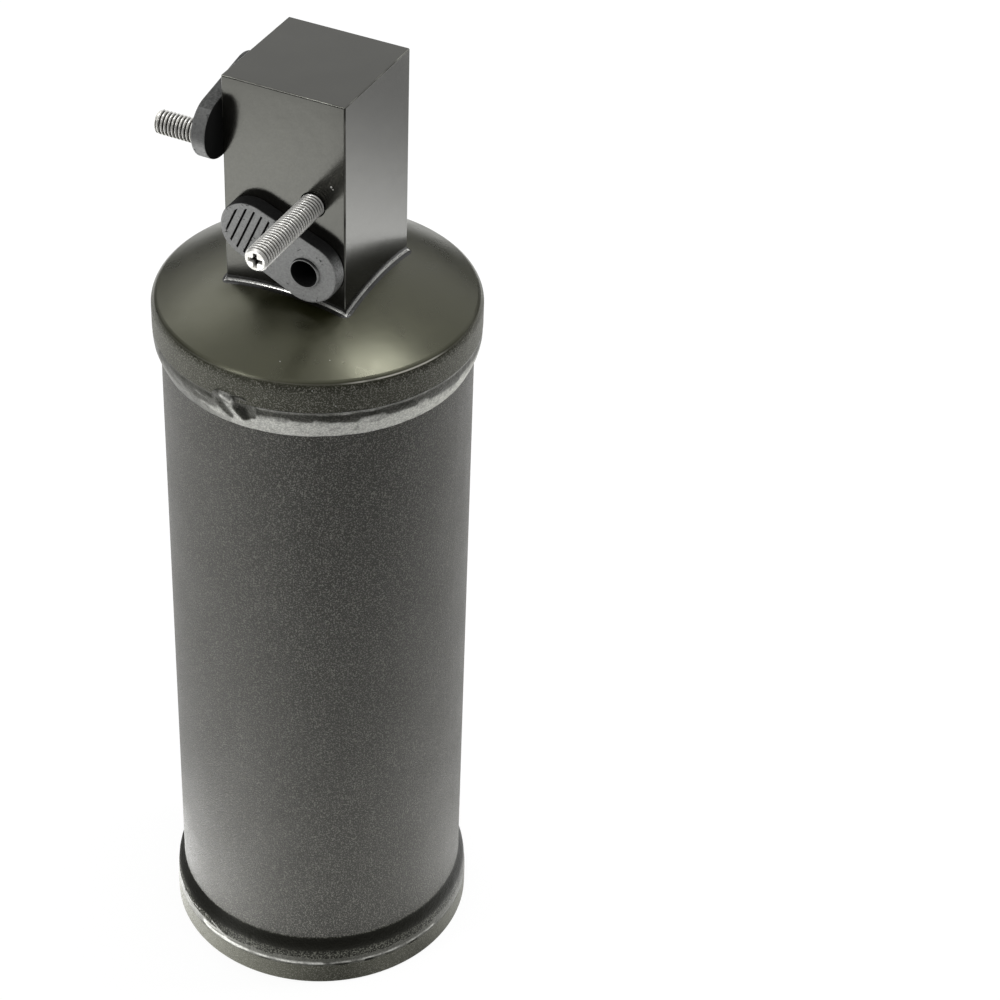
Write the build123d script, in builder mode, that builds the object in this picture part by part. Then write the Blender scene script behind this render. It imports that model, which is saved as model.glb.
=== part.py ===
import os
from math import acos, atan, cos, degrees, pi, sin, sqrt

from build123d import *

# Receiver drier of an air-conditioning circuit, in millimetres.
# Origin at the centre of the base, +Z up along the body, -Y out of the front port.

# Body tube and pressed ends
tube_outer_r = 38.1
tube_wall = 1.6
tube_end_gap = 0.8
cap_sheet = 1.85
cap_fit = 0.1
shoulder_z = 195.9
top_skirt_length = 5.7
crown_r = 79.0
top_knuckle_r = 3.0
bottom_skirt_height = 6.4
bottom_edge_r = 0.8
bottom_inner_r = 0.5

# Weld beads
upper_weld_height = 8.0
upper_weld_toe = 0.5
upper_weld_bulge = 0.55
lower_weld_height = 7.2
lower_weld_toe = 0.6
lower_weld_bulge = 0.1
weld_lump_r = 4.6
weld_lump_rise = 0.35
weld_lump_angle = -92.0

# Head block, with the braze run round its foot
block_side = 31.75
block_head = 11.3
block_edge_r = 0.4
braze_r = 1.7
braze_reach = 8.0

# Ports, studs and the passages between them, stacked up from the braze
plug_foot_gap = 0.15
port_r = 5.8
port_depth = 10.0
port_chamfer = 0.5
port_pitch = 16.1
front_offset = 7.5
left_offset = 0.0
passage_r = 3.1
inlet_passage_r = 3.5
inlet_setback = 6.4
inlet_hole_gap = 0.3
stud_r = 3.0
stud_core_r = 2.5
stud_reach = 26.8
stud_depth = 10.0
stud_hole_gap = 0.02
stud_hole_spare = 0.5
stud_sink = 0.3
stud_sink_angle = 90.0
stud_tip_chamfer = 0.4
recess_length = 3.7
recess_width = 1.0
recess_depth = 1.7
recess_taper = 12.0

# Moulded transit plugs
plug_big_r = 8.15
plug_grip_r = 7.5
plug_grip_pitch = 16.3
plug_plate = 3.9
plug_edge_r = 0.5
plug_stem_r = 5.0
plug_stem_length = 8.0
plug_fit = 0.05
rib_count = 2
rib_width = 1.4
rib_pitch = 3.0
rib_bevel_share = 0.6
first_rib_depth = 2.6
hollow_r = 3.3
hollow_depth = 10.2
hollow_chamfer = 0.3
groove_count = 6
groove_pitch = 2.05
groove_width = 0.55
groove_depth = 0.45
groove_margin = 1.5
last_groove_x = 21.2
front_plug_rise = 24.0
left_plug_rise = -8.0

# Pickup tube and strainer
pickup_r = 3.97
pickup_wall = 0.9
pickup_fit = 0.03
pickup_hole_gap = 0.2
pickup_seat_depth = 12.0
pickup_bottom_z = 11.0
bead_rise = 1.6
ferrule_wall = 1.0
ferrule_length = 7.0
ferrule_flange = 1.0
screen_r = 7.0
screen_wall = 0.6
screen_length = 16.0
screen_bottom_z = 6.4
screen_hole_r = 1.0
screen_rows = 4
screen_row_count = 9
foot_sheet = 0.8
foot_lip = 1.6
strainer_fit = 0.05

# Desiccant stack
plate_sheet = 1.2
plate_rim = 5.0
plate_bend_r = 1.6
plate_hole_r = 2.2
plate_ring_pitch = 9.0
plate_rings = 3
plate_ring_holes = 6
plate_z = 70.0
shell_gap = 0.3
stack_hole_gap = 0.25
pad_thickness = 6.0
bed_height = 70.0

# Pressure spring
spring_wire_r = 1.25
spring_base_r = 30.0
spring_top_r = 21.0
spring_turns = 4.0
spring_gap = 0.1

# Margin for picking edges by their place
pick = 0.01

# Sizes that follow from the ones above
tube_inner_r = tube_outer_r - tube_wall
skirt_inner_r = tube_outer_r + cap_fit
skirt_r = skirt_inner_r + cap_sheet
tube_bottom_z = cap_sheet + tube_end_gap
tube_top_z = shoulder_z - tube_end_gap
skirt_end_z = shoulder_z - top_skirt_length
half_block = block_side / 2

knuckle_centre_r = skirt_r - top_knuckle_r
knuckle_angle = degrees(acos(knuckle_centre_r / (crown_r - top_knuckle_r)))
crown_centre_z = shoulder_z - sqrt((crown_r - top_knuckle_r) ** 2 - knuckle_centre_r**2)
crown_top_z = crown_centre_z + crown_r
braze_top_z = crown_centre_z + sqrt(
    (crown_r + braze_r) ** 2 - (half_block + braze_r) ** 2
)

front_port_z = braze_top_z + plug_foot_gap + plug_big_r
stud_z = front_port_z + port_pitch
left_port_z = stud_z + port_pitch
block_top_z = left_port_z + block_head
inlet_passage_y = inlet_setback - half_block

plate_outer_r = tube_inner_r - shell_gap
stack_hole_r = pickup_r + stack_hole_gap
lower_pad_z = plate_z + plate_sheet
bed_z = lower_pad_z + pad_thickness
upper_pad_z = bed_z + bed_height
upper_plate_z = upper_pad_z + pad_thickness


def crown_height(radius, inset=0.0):
    """Height of the crown at a radius from the axis, inset below its outer face."""
    return crown_centre_z + sqrt((crown_r - inset) ** 2 - radius**2)


def front_face(across, up, rise=0.0):
    """Plane on the block's front face, looking out of it, turned by rise degrees."""
    x_dir = (-cos(rise * pi / 180), 0, sin(rise * pi / 180))
    return Plane(origin=(across, -half_block, up), x_dir=x_dir, z_dir=(0, -1, 0))


def left_face(across, up, rise=0.0):
    """Plane on the block's left face, looking out of it, turned by rise degrees."""
    x_dir = (0, -cos(rise * pi / 180), sin(rise * pi / 180))
    return Plane(origin=(-half_block, across, up), x_dir=x_dir, z_dir=(-1, 0, 0))


os.makedirs("parts", exist_ok=True)


# Body tube, open at both ends, held inside the skirts of the two pressed ends
with BuildPart() as shell_tube:
    with BuildSketch(Plane.XY.offset(tube_bottom_z)):
        Circle(tube_outer_r)
        Circle(tube_inner_r, mode=Mode.SUBTRACT)
    extrude(amount=tube_top_z - tube_bottom_z)
shell_tube.part.label = "shell_tube"
export_step(shell_tube.part, "parts/shell_tube.step")


def crown_arcs(radius, knuckle_r):
    """Knuckle and crown of one face of the pressed end, from the skirt up to the axis."""
    knuckle = CenterArc((knuckle_centre_r, shoulder_z), knuckle_r, 0, knuckle_angle)
    CenterArc((0, crown_centre_z), radius, knuckle_angle, 90 - knuckle_angle)
    return knuckle @ 0


# Top pressed end: a dished crown, a tight knuckle and a short skirt over the tube
with BuildPart() as top_cap:
    with BuildSketch(Plane.XZ):
        with BuildLine():
            outer_start = crown_arcs(crown_r, top_knuckle_r)
            inner_start = crown_arcs(crown_r - cap_sheet, top_knuckle_r - cap_sheet)
            Line((0, crown_top_z - cap_sheet), (0, crown_top_z))
            Polyline(
                outer_start,
                (skirt_r, skirt_end_z),
                (skirt_inner_r, skirt_end_z),
                inner_start,
            )
        make_face()
    revolve(axis=Axis.Z)
    with BuildSketch(Plane.XY.offset(shoulder_z)):
        Circle(pickup_r + pickup_hole_gap)
        with Locations((front_offset, inlet_passage_y)):
            Circle(inlet_passage_r + inlet_hole_gap)
    extrude(amount=block_top_z - shoulder_z, mode=Mode.SUBTRACT)
top_cap.part.label = "top_cap"
export_step(top_cap.part, "parts/top_cap.step")


# Bottom pressed end: a shallow pan with a rounded edge, over the tube's lower end
with BuildPart() as bottom_cap:
    with BuildSketch():
        Circle(skirt_r)
    extrude(amount=bottom_skirt_height)
    fillet(bottom_cap.edges().group_by(Axis.Z)[0], bottom_edge_r)
    with BuildSketch(Plane.XY.offset(cap_sheet)):
        Circle(skirt_inner_r)
    extrude(amount=bottom_skirt_height, mode=Mode.SUBTRACT)
    floor_edge = bottom_cap.edges().filter_by(GeomType.CIRCLE).filter_by_position(
        Axis.Z, cap_sheet - pick, cap_sheet + pick
    )
    fillet(floor_edge, bottom_inner_r)
bottom_cap.part.label = "bottom_cap"
export_step(bottom_cap.part, "parts/bottom_cap.step")


# Upper weld bead: full and rounded, from the skirt's edge down onto the tube
with BuildPart() as upper_weld:
    weld_toe_z = skirt_end_z - upper_weld_height
    toe_r = tube_outer_r + upper_weld_toe
    with BuildSketch(Plane.XZ):
        with BuildLine():
            Polyline(
                (toe_r, weld_toe_z + upper_weld_toe),
                (tube_outer_r, weld_toe_z),
                (tube_outer_r, skirt_end_z),
                (skirt_r, skirt_end_z),
            )
            ThreePointArc(
                (skirt_r, skirt_end_z),
                ((skirt_r + toe_r) / 2 + upper_weld_bulge, skirt_end_z - upper_weld_height / 2),
                (toe_r, weld_toe_z + upper_weld_toe),
            )
        make_face()
    revolve(axis=Axis.Z)
    # The lump where the bead starts and stops
    lump_z = skirt_end_z - upper_weld_height / 2
    lump_centre_r = (skirt_r + toe_r) / 2 + upper_weld_bulge + weld_lump_rise - weld_lump_r
    lump_x = lump_centre_r * cos(weld_lump_angle * pi / 180)
    lump_y = lump_centre_r * sin(weld_lump_angle * pi / 180)
    with Locations((lump_x, lump_y, lump_z)):
        Sphere(weld_lump_r)
    with BuildSketch(Plane.XY.offset(shoulder_z)):
        Circle(tube_outer_r)
    extrude(amount=tube_bottom_z - shoulder_z, mode=Mode.SUBTRACT)
    split(bisect_by=Plane.XY.offset(skirt_end_z), keep=Keep.BOTTOM)
upper_weld.part.label = "upper_weld"
export_step(upper_weld.part, "parts/upper_weld.step")


# Lower weld bead: a steep flat fillet from the pan's rim up to the tube
with BuildPart() as lower_weld:
    weld_top_z = bottom_skirt_height + lower_weld_height
    toe_r = tube_outer_r + lower_weld_toe
    with BuildSketch(Plane.XZ):
        with BuildLine():
            Polyline(
                (toe_r, weld_top_z - lower_weld_toe),
                (tube_outer_r, weld_top_z),
                (tube_outer_r, bottom_skirt_height),
                (skirt_r, bottom_skirt_height),
            )
            ThreePointArc(
                (skirt_r, bottom_skirt_height),
                (
                    (skirt_r + toe_r) / 2 + lower_weld_bulge,
                    bottom_skirt_height + lower_weld_height / 2,
                ),
                (toe_r, weld_top_z - lower_weld_toe),
            )
        make_face()
    revolve(axis=Axis.Z)
lower_weld.part.label = "lower_weld"
export_step(lower_weld.part, "parts/lower_weld.step")


# Head block: square bar, its foot hollowed to sit on the crown
with BuildPart() as head_block:
    with BuildSketch(Plane.XY.offset(shoulder_z)):
        RectangleRounded(block_side, block_side, block_edge_r)
    extrude(amount=block_top_z - shoulder_z)
    fillet(head_block.edges().group_by(Axis.Z)[-1], block_edge_r)
    with Locations((0, 0, crown_centre_z)):
        Sphere(crown_r, mode=Mode.SUBTRACT)

    # Outlet port with the cross drilling behind it
    with Locations(left_face(left_offset, left_port_z)):
        CounterBoreHole(passage_r, port_r, port_depth, half_block + passage_r)
    # Inlet port, blind
    with Locations(front_face(front_offset, front_port_z)):
        Hole(port_r, port_depth)
    mouths = head_block.edges().filter_by(GeomType.CIRCLE).filter_by(
        lambda edge: abs(edge.radius - port_r) < pick
        and max(abs(edge.arc_center.X), abs(edge.arc_center.Y)) > half_block - pick
    )
    chamfer(mouths, port_chamfer)

    # Tapped holes for the two studs
    stud_hole_depth = stud_depth + stud_hole_spare
    with Locations(left_face(left_offset, stud_z), front_face(front_offset, stud_z)):
        CounterSinkHole(
            stud_core_r + stud_hole_gap, stud_r + stud_sink, stud_hole_depth, stud_sink_angle
        )

    # Inlet drilling, from the front port down through the foot
    with BuildSketch(Plane.XY.offset(front_port_z)):
        with Locations((front_offset, inlet_passage_y)):
            Circle(inlet_passage_r)
    extrude(amount=shoulder_z - front_port_z, mode=Mode.SUBTRACT)

    # Pickup tube's seat in the foot, and the drilling from it up to the outlet
    seat_top_z = crown_top_z + pickup_seat_depth
    with BuildSketch(Plane.XY.offset(shoulder_z)):
        Circle(pickup_r + pickup_fit)
    extrude(amount=seat_top_z - shoulder_z, mode=Mode.SUBTRACT)
    with BuildSketch(Plane.XY.offset(seat_top_z)):
        Circle(passage_r)
    extrude(amount=left_port_z - seat_top_z, mode=Mode.SUBTRACT)
head_block.part.label = "head_block"
export_step(head_block.part, "parts/head_block.step")


# Braze run round the block's foot: the hollow fillet between block and crown
with BuildPart() as head_braze:
    with Locations((0, 0, crown_centre_z)):
        Sphere(crown_r)
    with BuildSketch(Plane.XY.offset(shoulder_z)):
        RectangleRounded(block_side, block_side, block_edge_r)
    extrude(amount=crown_top_z + braze_reach - shoulder_z)
    corner_z = crown_height(half_block * sqrt(2))
    foot_edges = head_braze.edges().filter_by_position(
        Axis.X, -half_block - pick, half_block + pick
    ).filter_by_position(
        Axis.Y, -half_block - pick, half_block + pick
    ).filter_by_position(Axis.Z, corner_z - pick, crown_top_z)
    fillet(foot_edges, braze_r)
    with Locations((0, 0, crown_centre_z)):
        Sphere(crown_r, mode=Mode.SUBTRACT)
    with BuildSketch(Plane.XY.offset(shoulder_z)):
        RectangleRounded(block_side, block_side, block_edge_r)
    extrude(amount=block_top_z - shoulder_z, mode=Mode.SUBTRACT)
head_braze.part.label = "head_braze"
export_step(head_braze.part, "parts/head_braze.step")


def make_stud(face):
    """Stud screwed into the block: full thread outside, its core in the tapped hole."""
    with BuildPart() as stud:
        with BuildSketch(face):
            Circle(stud_r)
        extrude(amount=stud_reach)
        tip_edge = stud.faces().sort_by(Axis(face.origin, face.z_dir))[-1].edges()
        chamfer(tip_edge, stud_tip_chamfer)
        with BuildSketch(face):
            Circle(stud_core_r)
        extrude(amount=-stud_depth)
        # Cross recess in the tip, narrowing towards its floor
        with BuildSketch(face.offset(stud_reach)):
            Rectangle(recess_length, recess_width)
            Rectangle(recess_width, recess_length)
        extrude(amount=-recess_depth, taper=recess_taper, mode=Mode.SUBTRACT)
    return stud


front_stud = make_stud(front_face(front_offset, stud_z))
front_stud.part.label = "front_stud"
export_step(front_stud.part, "parts/front_stud.step")
left_stud = make_stud(left_face(left_offset, stud_z))
left_stud.part.label = "left_stud"
export_step(left_stud.part, "parts/left_stud.step")


def plug_outline(inset=0.0):
    """Pull tab's outline: two round ends of unlike size with straight flanks."""
    with BuildSketch(Plane.XY) as outline:
        Circle(plug_big_r - inset)
        with Locations((plug_grip_pitch, 0)):
            Circle(plug_grip_r - inset)
        make_hull()
    return outline.sketch


def make_plug(face):
    """Moulded transit plug: a pull tab with grip grooves, and a ribbed hollow stem."""
    rib_r = port_r - plug_fit
    with BuildPart() as plug:
        with BuildSketch(face):
            add(plug_outline())
        extrude(amount=plug_plate)
        tab_axis = Axis(face.origin, face.z_dir)
        fillet(plug.faces().sort_by(tab_axis)[-1].edges(), plug_edge_r)
        fillet(plug.faces().sort_by(tab_axis)[0].edges(), plug_edge_r)
        with BuildSketch(face):
            Circle(plug_stem_r)
        extrude(amount=-plug_stem_length)
        # Sealing ribs that fill the port, bevelled on both sides
        for rib in range(rib_count):
            rib_depth = first_rib_depth + rib * rib_pitch
            with BuildSketch(face.offset(-rib_depth)):
                Circle(rib_r)
            extrude(amount=-rib_width)
        rib_edges = plug.edges().filter_by(GeomType.CIRCLE).filter_by(
            lambda edge: abs(edge.radius - rib_r) < pick
        )
        chamfer(rib_edges, rib_bevel_share * (rib_r - plug_stem_r))
        # The hollow that lets the stem give
        with BuildSketch(face.offset(plug_plate)):
            Circle(hollow_r)
        extrude(amount=-hollow_depth, mode=Mode.SUBTRACT)
        mouth = plug.edges().filter_by(GeomType.CIRCLE).filter_by(
            lambda edge: abs(edge.radius - hollow_r) < pick
        ).sort_by(tab_axis)[-1]
        chamfer(mouth, hollow_chamfer)
        # Grip grooves across the tab
        with BuildSketch(face.offset(plug_plate)):
            for groove in range(groove_count):
                with Locations((last_groove_x - groove * groove_pitch, 0)):
                    Rectangle(groove_width, 2 * plug_big_r)
            add(plug_outline(groove_margin), mode=Mode.INTERSECT)
        extrude(amount=-groove_depth, mode=Mode.SUBTRACT)
    return plug


front_port_plug = make_plug(front_face(front_offset, front_port_z, front_plug_rise))
front_port_plug.part.label = "front_port_plug"
export_step(front_port_plug.part, "parts/front_port_plug.step")
left_port_plug = make_plug(left_face(left_offset, left_port_z, left_plug_rise))
left_port_plug.part.label = "left_port_plug"
export_step(left_port_plug.part, "parts/left_port_plug.step")


# Pickup tube: from the strainer up into the block, with a rolled bead for the plate
with BuildPart() as pickup_tube:
    pickup_top_z = seat_top_z
    bead_z = plate_z - bead_rise
    with BuildSketch(Plane.XZ):
        with BuildLine():
            Line((pickup_r, pickup_bottom_z), (pickup_r, bead_z - bead_rise))
            ThreePointArc(
                (pickup_r, bead_z - bead_rise),
                (pickup_r + bead_rise, bead_z),
                (pickup_r, bead_z + bead_rise),
            )
            Polyline(
                (pickup_r, bead_z + bead_rise),
                (pickup_r, pickup_top_z),
                (pickup_r - pickup_wall, pickup_top_z),
                (pickup_r - pickup_wall, bead_z + bead_rise - pickup_wall / 2),
            )
            ThreePointArc(
                (pickup_r - pickup_wall, bead_z + bead_rise - pickup_wall / 2),
                (pickup_r + bead_rise - pickup_wall, bead_z),
                (pickup_r - pickup_wall, bead_z - bead_rise + pickup_wall / 2),
            )
            Polyline(
                (pickup_r - pickup_wall, bead_z - bead_rise + pickup_wall / 2),
                (pickup_r - pickup_wall, pickup_bottom_z),
                (pickup_r, pickup_bottom_z),
            )
        make_face()
    revolve(axis=Axis.Z)
pickup_tube.part.label = "pickup_tube"
export_step(pickup_tube.part, "parts/pickup_tube.step")


# Strainer collar: a sleeve on the pickup tube with a flange that closes the screen
with BuildPart() as strainer_ferrule:
    screen_top_z = screen_bottom_z + screen_length
    with BuildSketch(Plane.XY.offset(screen_top_z)):
        Circle(screen_r + screen_wall)
    extrude(amount=ferrule_flange)
    with BuildSketch(Plane.XY.offset(screen_top_z)):
        Circle(pickup_r + ferrule_wall)
    extrude(amount=ferrule_length)
    with BuildSketch(Plane.XY.offset(screen_top_z)):
        Circle(pickup_r + strainer_fit)
    extrude(amount=ferrule_length, mode=Mode.SUBTRACT)
strainer_ferrule.part.label = "strainer_ferrule"
export_step(strainer_ferrule.part, "parts/strainer_ferrule.step")


# Strainer screen: a perforated sleeve, its rows of holes set half a step apart
with BuildPart() as strainer_screen:
    with BuildSketch(Plane.XY.offset(screen_bottom_z)):
        Circle(screen_r)
        Circle(screen_r - screen_wall, mode=Mode.SUBTRACT)
    extrude(amount=screen_length)
    row_pitch = (screen_length - 2 * foot_lip) / screen_rows
    for row in range(screen_rows):
        row_z = screen_bottom_z + foot_lip + (row + 0.5) * row_pitch
        turns = [2 * pi * (hole + row % 2 / 2) / screen_row_count for hole in range(screen_row_count)]
        outlooks = [Plane(origin=(0, 0, row_z), z_dir=(cos(turn), sin(turn), 0)) for turn in turns]
        with BuildSketch(*outlooks):
            Circle(screen_hole_r)
        extrude(amount=screen_r + screen_wall, mode=Mode.SUBTRACT)
strainer_screen.part.label = "strainer_screen"
export_step(strainer_screen.part, "parts/strainer_screen.step")


# Strainer foot: a pressed cup that closes the screen from below
with BuildPart() as strainer_foot:
    foot_bottom_z = screen_bottom_z - foot_sheet
    with BuildSketch(Plane.XY.offset(foot_bottom_z)):
        Circle(screen_r + strainer_fit + foot_sheet)
    extrude(amount=foot_sheet + foot_lip)
    with BuildSketch(Plane.XY.offset(screen_bottom_z)):
        Circle(screen_r + strainer_fit)
    extrude(amount=foot_lip, mode=Mode.SUBTRACT)
    fillet(strainer_foot.edges().group_by(Axis.Z)[0], foot_sheet / 2)
strainer_foot.part.label = "strainer_foot"
export_step(strainer_foot.part, "parts/strainer_foot.step")


def make_plate(base):
    """Perforated plate: a pressed cup with a low rim, rings of holes and one for the tube."""
    with BuildPart() as plate:
        facing = Axis(base.origin, base.z_dir)
        with BuildSketch(base):
            Circle(plate_outer_r)
        extrude(amount=plate_sheet + plate_rim)
        fillet(plate.edges().group_by(facing)[0], plate_bend_r)
        with BuildSketch(base.offset(plate_sheet)):
            Circle(plate_outer_r - plate_sheet)
        extrude(amount=plate_rim, mode=Mode.SUBTRACT)
        floor = plate.faces().filter_by(Axis.Z).sort_by(facing)[-2]
        fillet(floor.edges(), plate_bend_r - plate_sheet)
        with BuildSketch(base):
            Circle(stack_hole_r)
            for ring in range(1, plate_rings + 1):
                with PolarLocations(ring * plate_ring_pitch, ring * plate_ring_holes):
                    Circle(plate_hole_r)
        extrude(amount=plate_sheet, mode=Mode.SUBTRACT)
    return plate


# Lower plate, rim down, carried by the bead of the pickup tube
lower_plate = make_plate(Plane(origin=(0, 0, lower_pad_z), z_dir=(0, 0, -1)))
lower_plate.part.label = "lower_plate"
export_step(lower_plate.part, "parts/lower_plate.step")

# Upper plate, rim up, with the spring standing in it
upper_plate = make_plate(Plane.XY.offset(upper_plate_z))
upper_plate.part.label = "upper_plate"
export_step(upper_plate.part, "parts/upper_plate.step")


def make_layer(bottom_z, height):
    """Ring that fills the shell between two heights, with a hole for the pickup tube."""
    with BuildPart() as layer:
        with BuildSketch(Plane.XY.offset(bottom_z)):
            Circle(plate_outer_r)
            Circle(stack_hole_r, mode=Mode.SUBTRACT)
        extrude(amount=height)
    return layer


# Felt pads below and above the bed, and the bed of beads as one solid
lower_pad = make_layer(lower_pad_z, pad_thickness)
lower_pad.part.label = "lower_pad"
export_step(lower_pad.part, "parts/lower_pad.step")
desiccant_bed = make_layer(bed_z, bed_height)
desiccant_bed.part.label = "desiccant_bed"
export_step(desiccant_bed.part, "parts/desiccant_bed.step")
upper_pad = make_layer(upper_pad_z, pad_thickness)
upper_pad.part.label = "upper_pad"
export_step(upper_pad.part, "parts/upper_pad.step")


# Pressure spring: a conical coil from the upper plate up to the crown's inner face
with BuildPart() as pressure_spring:
    wire_reach = spring_wire_r + spring_gap
    coil_bottom_z = upper_plate_z + plate_sheet + wire_reach
    coil_top_z = crown_height(spring_top_r, cap_sheet + wire_reach)
    coil_height = coil_top_z - coil_bottom_z
    coil_lean = degrees(atan((spring_top_r - spring_base_r) / coil_height))
    coil = Helix(
        pitch=coil_height / spring_turns,
        height=coil_height,
        radius=spring_base_r,
        center=(0, 0, coil_bottom_z),
        cone_angle=coil_lean,
    )
    with BuildSketch(Plane(origin=coil @ 0, z_dir=coil % 0)):
        Circle(spring_wire_r)
    sweep(path=coil, is_frenet=True)
pressure_spring.part.label = "pressure_spring"
export_step(pressure_spring.part, "parts/pressure_spring.step")
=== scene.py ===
# %% [markdown]
# # A receiver drier, painted and lit
#
# A receiver drier is the small pressure bottle of a car's air conditioning.
# Liquid refrigerant comes in through the block on top, sinks through a bed of
# drying beads, and leaves again through a pickup tube. This one is a steel
# tube with two pressed ends welded on, a square aluminium block brazed to the
# crown, two studs for the pipe clamps, and two plastic plugs that keep the
# ports clean until the bottle is fitted.
#
# The solids come from a CAD model. This lesson gives them their finishes. It
# makes the screw threads and the weld beads again as finer meshes, and adds a
# lip to each plug and a little dust.

from math import cos, pi, radians, sin, sqrt

import bpy
import numpy as np
from mathutils import Matrix, Vector


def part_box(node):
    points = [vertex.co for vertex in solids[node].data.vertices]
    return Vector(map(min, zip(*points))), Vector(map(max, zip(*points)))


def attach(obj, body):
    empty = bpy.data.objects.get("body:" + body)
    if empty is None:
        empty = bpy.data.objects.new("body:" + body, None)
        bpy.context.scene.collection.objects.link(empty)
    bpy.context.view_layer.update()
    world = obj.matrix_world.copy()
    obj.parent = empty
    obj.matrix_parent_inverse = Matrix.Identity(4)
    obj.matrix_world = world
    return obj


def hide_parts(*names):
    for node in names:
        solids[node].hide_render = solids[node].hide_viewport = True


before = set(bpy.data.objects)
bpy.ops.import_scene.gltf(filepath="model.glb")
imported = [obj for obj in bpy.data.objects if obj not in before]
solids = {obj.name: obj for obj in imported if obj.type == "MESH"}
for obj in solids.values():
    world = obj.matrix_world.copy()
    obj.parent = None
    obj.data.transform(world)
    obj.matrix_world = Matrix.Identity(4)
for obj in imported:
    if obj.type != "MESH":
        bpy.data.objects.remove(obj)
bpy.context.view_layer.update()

# %% [markdown]
# ## The camera
#
# The bottle was photographed from above and a little to the right, through a
# long lens. A camera in Blender is placed by a matrix. Its columns are the
# directions of the picture's right side and top, and the way back out of the
# picture. They are worked out here from three angles: how far the camera
# stands round the bottle, how far it looks down, and how far it is tipped.

# %% Place the camera
MM = 0.001
camera_yaw, camera_pitch, camera_roll = 0.421, 0.653, 0.041
camera_place = Vector((277.474, -507.578, 577.848)) * MM

back = Vector((
    sin(camera_yaw) * cos(camera_pitch),
    -cos(camera_yaw) * cos(camera_pitch),
    sin(camera_pitch),
))
level_right = Vector((cos(camera_yaw), sin(camera_yaw), 0))
level_up = back.cross(level_right)
picture_right = cos(camera_roll) * level_right + sin(camera_roll) * level_up
picture_up = cos(camera_roll) * level_up - sin(camera_roll) * level_right

camera = bpy.data.objects.new("camera", bpy.data.cameras.new("camera"))
bpy.context.scene.collection.objects.link(camera)
turn = Matrix((picture_right, picture_up, back)).transposed()
camera.matrix_world = Matrix.Translation(camera_place) @ turn.to_4x4()
camera.data.sensor_width = 36
camera.data.lens = 103.1
camera.data.clip_start = 0.01
camera.data.clip_end = 50
bpy.context.scene.camera = camera
bpy.context.scene.view_settings.view_transform = "Standard"
print("camera", round(camera_place.length, 2), "m from the base")

# %% [markdown]
# ## Helpers for nodes
#
# Every finish below is a small graph of nodes. Adding a node, setting its
# values and wiring it up takes many lines when it is written out, so two
# helpers do it in one call. One graph is open at a time, and they add to that
# one. A value that is itself an output of another node becomes a wire, and
# any other value is typed into the socket. The other helpers are the few
# kinds of node that the finishes use over and over.

# %% Make helpers for nodes
def open_graph(owner):
    """Empties the graph of a finish or a room, and opens it for the helpers below."""
    global tree
    owner.use_nodes = True
    tree = owner.node_tree
    tree.nodes.clear()


def connect(made, **sockets):
    """Wires outputs of other nodes to a node's inputs, and types in plain values."""
    for name, value in sockets.items():
        socket = made.inputs[int(name[1:]) if name[0] == "_" else name.replace("_", " ")]
        if isinstance(value, bpy.types.NodeSocket):
            tree.links.new(value, socket)
        else:
            socket.default_value = value
    return made


def node(kind, settings=None, **sockets):
    """Adds one node to the open graph, sets it up and connects its inputs."""
    made = tree.nodes.new("ShaderNode" + kind)
    for name, value in (settings or {}).items():
        setattr(made, name, value)
    return connect(made, **sockets)


def sums(operation, first, second=0.0, clamp=False):
    """One step of arithmetic on numbers."""
    settings = {"operation": operation, "use_clamp": clamp}
    return node("Math", settings, _0=first, _1=second).outputs[0]


def times(first, second):
    """Two numbers multiplied."""
    return sums("MULTIPLY", first, second)


def larger(first, second):
    """The larger of two numbers."""
    return sums("MAXIMUM", first, second)


def spread(value, low, high, to_low=0.0, to_high=1.0, smooth=True):
    """Maps a value from one range to another, softly at both ends."""
    settings = {"interpolation_type": "SMOOTHSTEP" if smooth else "LINEAR"}
    return node(
        "MapRange", settings,
        Value=value, From_Min=low, From_Max=high, To_Min=to_low, To_Max=to_high,
    ).outputs["Result"]


def blend(share, first, second):
    """Mixes two numbers by a share from 0 to 1."""
    return node("Mix", {"data_type": "FLOAT"}, _0=share, _2=first, _3=second).outputs[0]


def tint(share, first, second):
    """Mixes two colours by a share from 0 to 1."""
    return node("Mix", {"data_type": "RGBA"}, _0=share, _6=first, _7=second).outputs[2]


def cloud(where, size, detail=2.0, rough=0.5, distortion=0.0):
    """Soft random patches. Size is how wide a patch is, in metres."""
    return node(
        "TexNoise", None,
        Vector=where, Scale=1 / size, Detail=detail, Roughness=rough, Distortion=distortion,
    ).outputs["Fac"]


def parts(vector):
    """The X, Y and Z of a vector."""
    return node("SeparateXYZ", None, Vector=vector).outputs


def along(vector, direction):
    """How far a vector reaches in a direction."""
    return node(
        "VectorMath", {"operation": "DOT_PRODUCT"}, _0=vector, _1=direction
    ).outputs["Value"]


def bumps(height, strength, distance, **more):
    """A surface tipped by a height that spans so many metres."""
    return node(
        "Bump", None, Strength=strength, Distance=distance, Height=height, **more
    ).outputs[0]


print("helpers for nodes, numbers, colours, noise and bumps")

# %% [markdown]
# ## The table it stands on
#
# A small dark object is best seen on a plain white table. The camera only
# needs the table to be white, and a glow does that without pouring more light
# on the bottle. A thin layer of real paint lies under the glow, so that the
# bottle still leaves its soft shadow.
#
# The table also shows in the paint as a reflection, and that is what draws a
# black bottle. It is bright close by and at the sides, and falls off to the
# front right, where the table ends. That fall makes the tube darker in the
# middle of its upper half. Round pools on the table, some brighter and some
# darker, show as the highlights and the dark stretches of the block's faces,
# the crown and the beads.

# %% Lay the table
def white_for_the_eye():
    """The kinds of ray, and 1 for those from the camera or through glass."""
    path = node("LightPath").outputs
    return path, larger(path["Is Camera Ray"], path["Is Transmission Ray"])


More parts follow.
